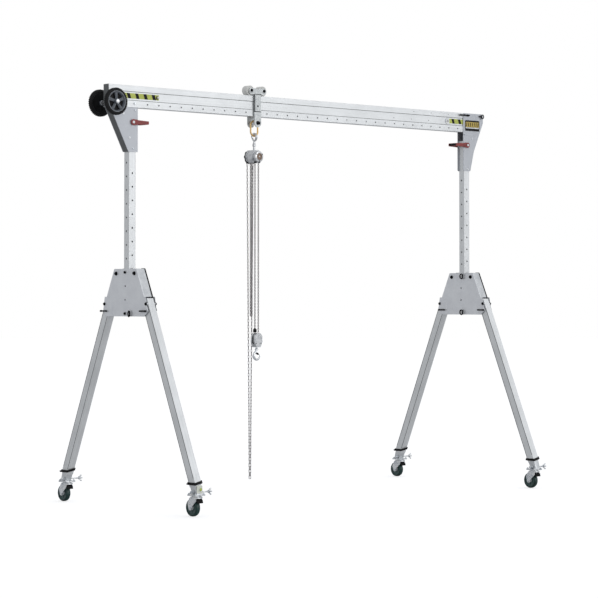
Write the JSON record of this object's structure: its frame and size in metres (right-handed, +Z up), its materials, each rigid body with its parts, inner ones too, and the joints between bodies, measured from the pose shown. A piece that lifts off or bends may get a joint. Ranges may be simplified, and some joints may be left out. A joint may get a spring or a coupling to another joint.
{
  "type": "portable gantry crane",
  "caption": "Portable gantry crane with folding leg frames on castors, a telescoping mast, a beam trolley and a hand chain hoist.",
  "frame": {"origin": "middle of the footprint's bounding box, on the floor", "axes": "+X along the beam, towards the end without the transport wheels; +Y away from the side with the hook block's offset; +Z up"},
  "size_m": [3.992, 1.7074, 3.1593],
  "materials": {
    "beam_aluminium": "satin anodised",
    "tube_aluminium": "satin anodised",
    "plate_aluminium": "matt plate",
    "dark_panel": "matt grey",
    "black_rubber": "matt",
    "green_tyre": "matt",
    "zinc_steel": "zinc plated",
    "red_paint": "satin",
    "gold_link": "gold passivated",
    "roller_nylon": "satin",
    "hoist_casting": "satin",
    "chain_steel": "zinc plated"
  },
  "bodies": {
    "frame_left": {"frame_plates_left": "plate_aluminium", "frame_core_left": "tube_aluminium"},
    "mast": {"beam": "beam_aluminium", "end_stops": "black_rubber", "post_left": "tube_aluminium", "post_right": "tube_aluminium", "head_plates_left": "plate_aluminium", "head_plates_right": "plate_aluminium", "head_closing_left": "dark_panel", "head_closing_right": "dark_panel", "transport_axle": "zinc_steel"},
    "frame_right": {"frame_plates_right": "plate_aluminium", "frame_core_right": "tube_aluminium"},
    "leg_left_near": {"leg_left_near": "tube_aluminium", "foot_left_near": "plate_aluminium"},
    "castor_fork_left_near": {"castor_fork_left_near": "zinc_steel"},
    "castor_wheel_left_near": {"castor_wheel_left_near": "green_tyre"},
    "leg_left_far": {"leg_left_far": "tube_aluminium", "foot_left_far": "plate_aluminium"},
    "castor_fork_left_far": {"castor_fork_left_far": "zinc_steel"},
    "castor_wheel_left_far": {"castor_wheel_left_far": "green_tyre"},
    "leg_right_near": {"leg_right_near": "tube_aluminium", "foot_right_near": "plate_aluminium"},
    "castor_fork_right_near": {"castor_fork_right_near": "zinc_steel"},
    "castor_wheel_right_near": {"castor_wheel_right_near": "green_tyre"},
    "leg_right_far": {"leg_right_far": "tube_aluminium", "foot_right_far": "plate_aluminium"},
    "castor_fork_right_far": {"castor_fork_right_far": "zinc_steel"},
    "castor_wheel_right_far": {"castor_wheel_right_far": "green_tyre"},
    "transport_wheel_near": {"transport_wheel_near": "black_rubber"},
    "transport_wheel_far": {"transport_wheel_far": "black_rubber"},
    "lock_lever_left": {"lock_lever_left": "red_paint"},
    "lock_lever_right": {"lock_lever_right": "red_paint"},
    "trolley": {"trolley_plates": "zinc_steel", "load_link": "gold_link", "top_hook": "zinc_steel"},
    "roller_left": {"roller_left": "roller_nylon"},
    "roller_right": {"roller_right": "roller_nylon"},
    "hoist": {"hoist_body": "hoist_casting", "hoist_hand_cover": "hoist_casting", "load_chain": "chain_steel", "hand_chain": "chain_steel", "hook_block": "hoist_casting"},
    "load_hook": {"load_hook": "zinc_steel"},
    "hook_latch": {"hook_latch": "zinc_steel"}
  },
  "joints": [
    {"name": "mast_slide", "type": "slide", "parent": "frame_left", "child": "mast", "axis": [0, 0, 1], "range_m": [-0.8, 0], "deforming": ["hand_chain"]},
    {"name": "frame_right_slide", "type": "slide", "parent": "mast", "child": "frame_right", "axis": [0, 0, 1], "range_m": [0, 0.8]},
    {"name": "leg_fold_left_near", "type": "hinge", "parent": "frame_left", "child": "leg_left_near", "pos_m": [-1.696, -0.27225, 1.489], "axis": [1, 0, 0], "range_deg": [0, 20]},
    {"name": "castor_swivel_left_near", "type": "hinge", "parent": "leg_left_near", "child": "castor_fork_left_near", "pos_m": [-1.696, -0.79975, 0.14], "axis": [0, 0, 1], "continuous": true},
    {"name": "castor_roll_left_near", "type": "hinge", "parent": "castor_fork_left_near", "child": "castor_wheel_left_near", "pos_m": [-1.696, -0.76375, 0.0625], "axis": [1, 0, 0], "continuous": true},
    {"name": "leg_fold_left_far", "type": "hinge", "parent": "frame_left", "child": "leg_left_far", "pos_m": [-1.696, 0.22775, 1.489], "axis": [1, 0, 0], "range_deg": [-20, 0]},
    {"name": "castor_swivel_left_far", "type": "hinge", "parent": "leg_left_far", "child": "castor_fork_left_far", "pos_m": [-1.696, 0.75525, 0.14], "axis": [0, 0, 1], "continuous": true},
    {"name": "castor_roll_left_far", "type": "hinge", "parent": "castor_fork_left_far", "child": "castor_wheel_left_far", "pos_m": [-1.696, 0.79125, 0.0625], "axis": [1, 0, 0], "continuous": true},
    {"name": "leg_fold_right_near", "type": "hinge", "parent": "frame_right", "child": "leg_right_near", "pos_m": [1.804, -0.27225, 1.489], "axis": [1, 0, 0], "range_deg": [0, 20]},
    {"name": "castor_swivel_right_near", "type": "hinge", "parent": "leg_right_near", "child": "castor_fork_right_near", "pos_m": [1.804, -0.79975, 0.14], "axis": [0, 0, 1], "continuous": true},
    {"name": "castor_roll_right_near", "type": "hinge", "parent": "castor_fork_right_near", "child": "castor_wheel_right_near", "pos_m": [1.804, -0.76375, 0.0625], "axis": [1, 0, 0], "continuous": true},
    {"name": "leg_fold_right_far", "type": "hinge", "parent": "frame_right", "child": "leg_right_far", "pos_m": [1.804, 0.22775, 1.489], "axis": [1, 0, 0], "range_deg": [-20, 0]},
    {"name": "castor_swivel_right_far", "type": "hinge", "parent": "leg_right_far", "child": "castor_fork_right_far", "pos_m": [1.804, 0.75525, 0.14], "axis": [0, 0, 1], "continuous": true},
    {"name": "castor_roll_right_far", "type": "hinge", "parent": "castor_fork_right_far", "child": "castor_wheel_right_far", "pos_m": [1.804, 0.79125, 0.0625], "axis": [1, 0, 0], "continuous": true},
    {"name": "transport_roll_near", "type": "hinge", "parent": "mast", "child": "transport_wheel_near", "pos_m": [-1.896, -0.11825, 2.951], "axis": [0, 1, 0], "continuous": true},
    {"name": "transport_roll_far", "type": "hinge", "parent": "mast", "child": "transport_wheel_far", "pos_m": [-1.896, 0.07375, 2.951], "axis": [0, 1, 0], "continuous": true},
    {"name": "lever_turn_left", "type": "hinge", "parent": "mast", "child": "lock_lever_left", "pos_m": [-1.696, -0.02225, 2.815], "axis": [0, 1, 0], "range_deg": [0, 40]},
    {"name": "lever_turn_right", "type": "hinge", "parent": "mast", "child": "lock_lever_right", "pos_m": [1.804, -0.02225, 2.815], "axis": [0, 1, 0], "range_deg": [-40, 0]},
    {"name": "trolley_slide", "type": "slide", "parent": "mast", "child": "trolley", "axis": [1, 0, 0], "range_m": [-0.915, 2.035]},
    {"name": "roller_turn_left", "type": "hinge", "parent": "trolley", "child": "roller_left", "pos_m": [-0.5685, -0.02225, 3.1213], "axis": [0, 1, 0], "continuous": true},
    {"name": "roller_turn_right", "type": "hinge", "parent": "trolley", "child": "roller_right", "pos_m": [-0.4435, -0.02225, 3.1213], "axis": [0, 1, 0], "continuous": true},
    {"name": "hoist_swivel", "type": "hinge", "parent": "trolley", "child": "hoist", "pos_m": [-0.506, -0.02225, 2.65], "axis": [0, 0, 1], "continuous": true},
    {"name": "hook_swivel", "type": "hinge", "parent": "hoist", "child": "load_hook", "pos_m": [-0.506, -0.05225, 1.17], "axis": [0, 0, 1], "continuous": true},
    {"name": "latch_spring", "type": "hinge", "parent": "load_hook", "child": "hook_latch", "pos_m": [-0.5027, -0.05225, 1.114], "axis": [0, 1, 0], "range_deg": [0, 35], "stiffness_Nm_per_rad": 0.05, "springref_deg": -5.73}
  ],
  "couplings": [
    {"joint": "frame_right_slide", "follows": "mast_slide", "ratio": -1}
  ]
}
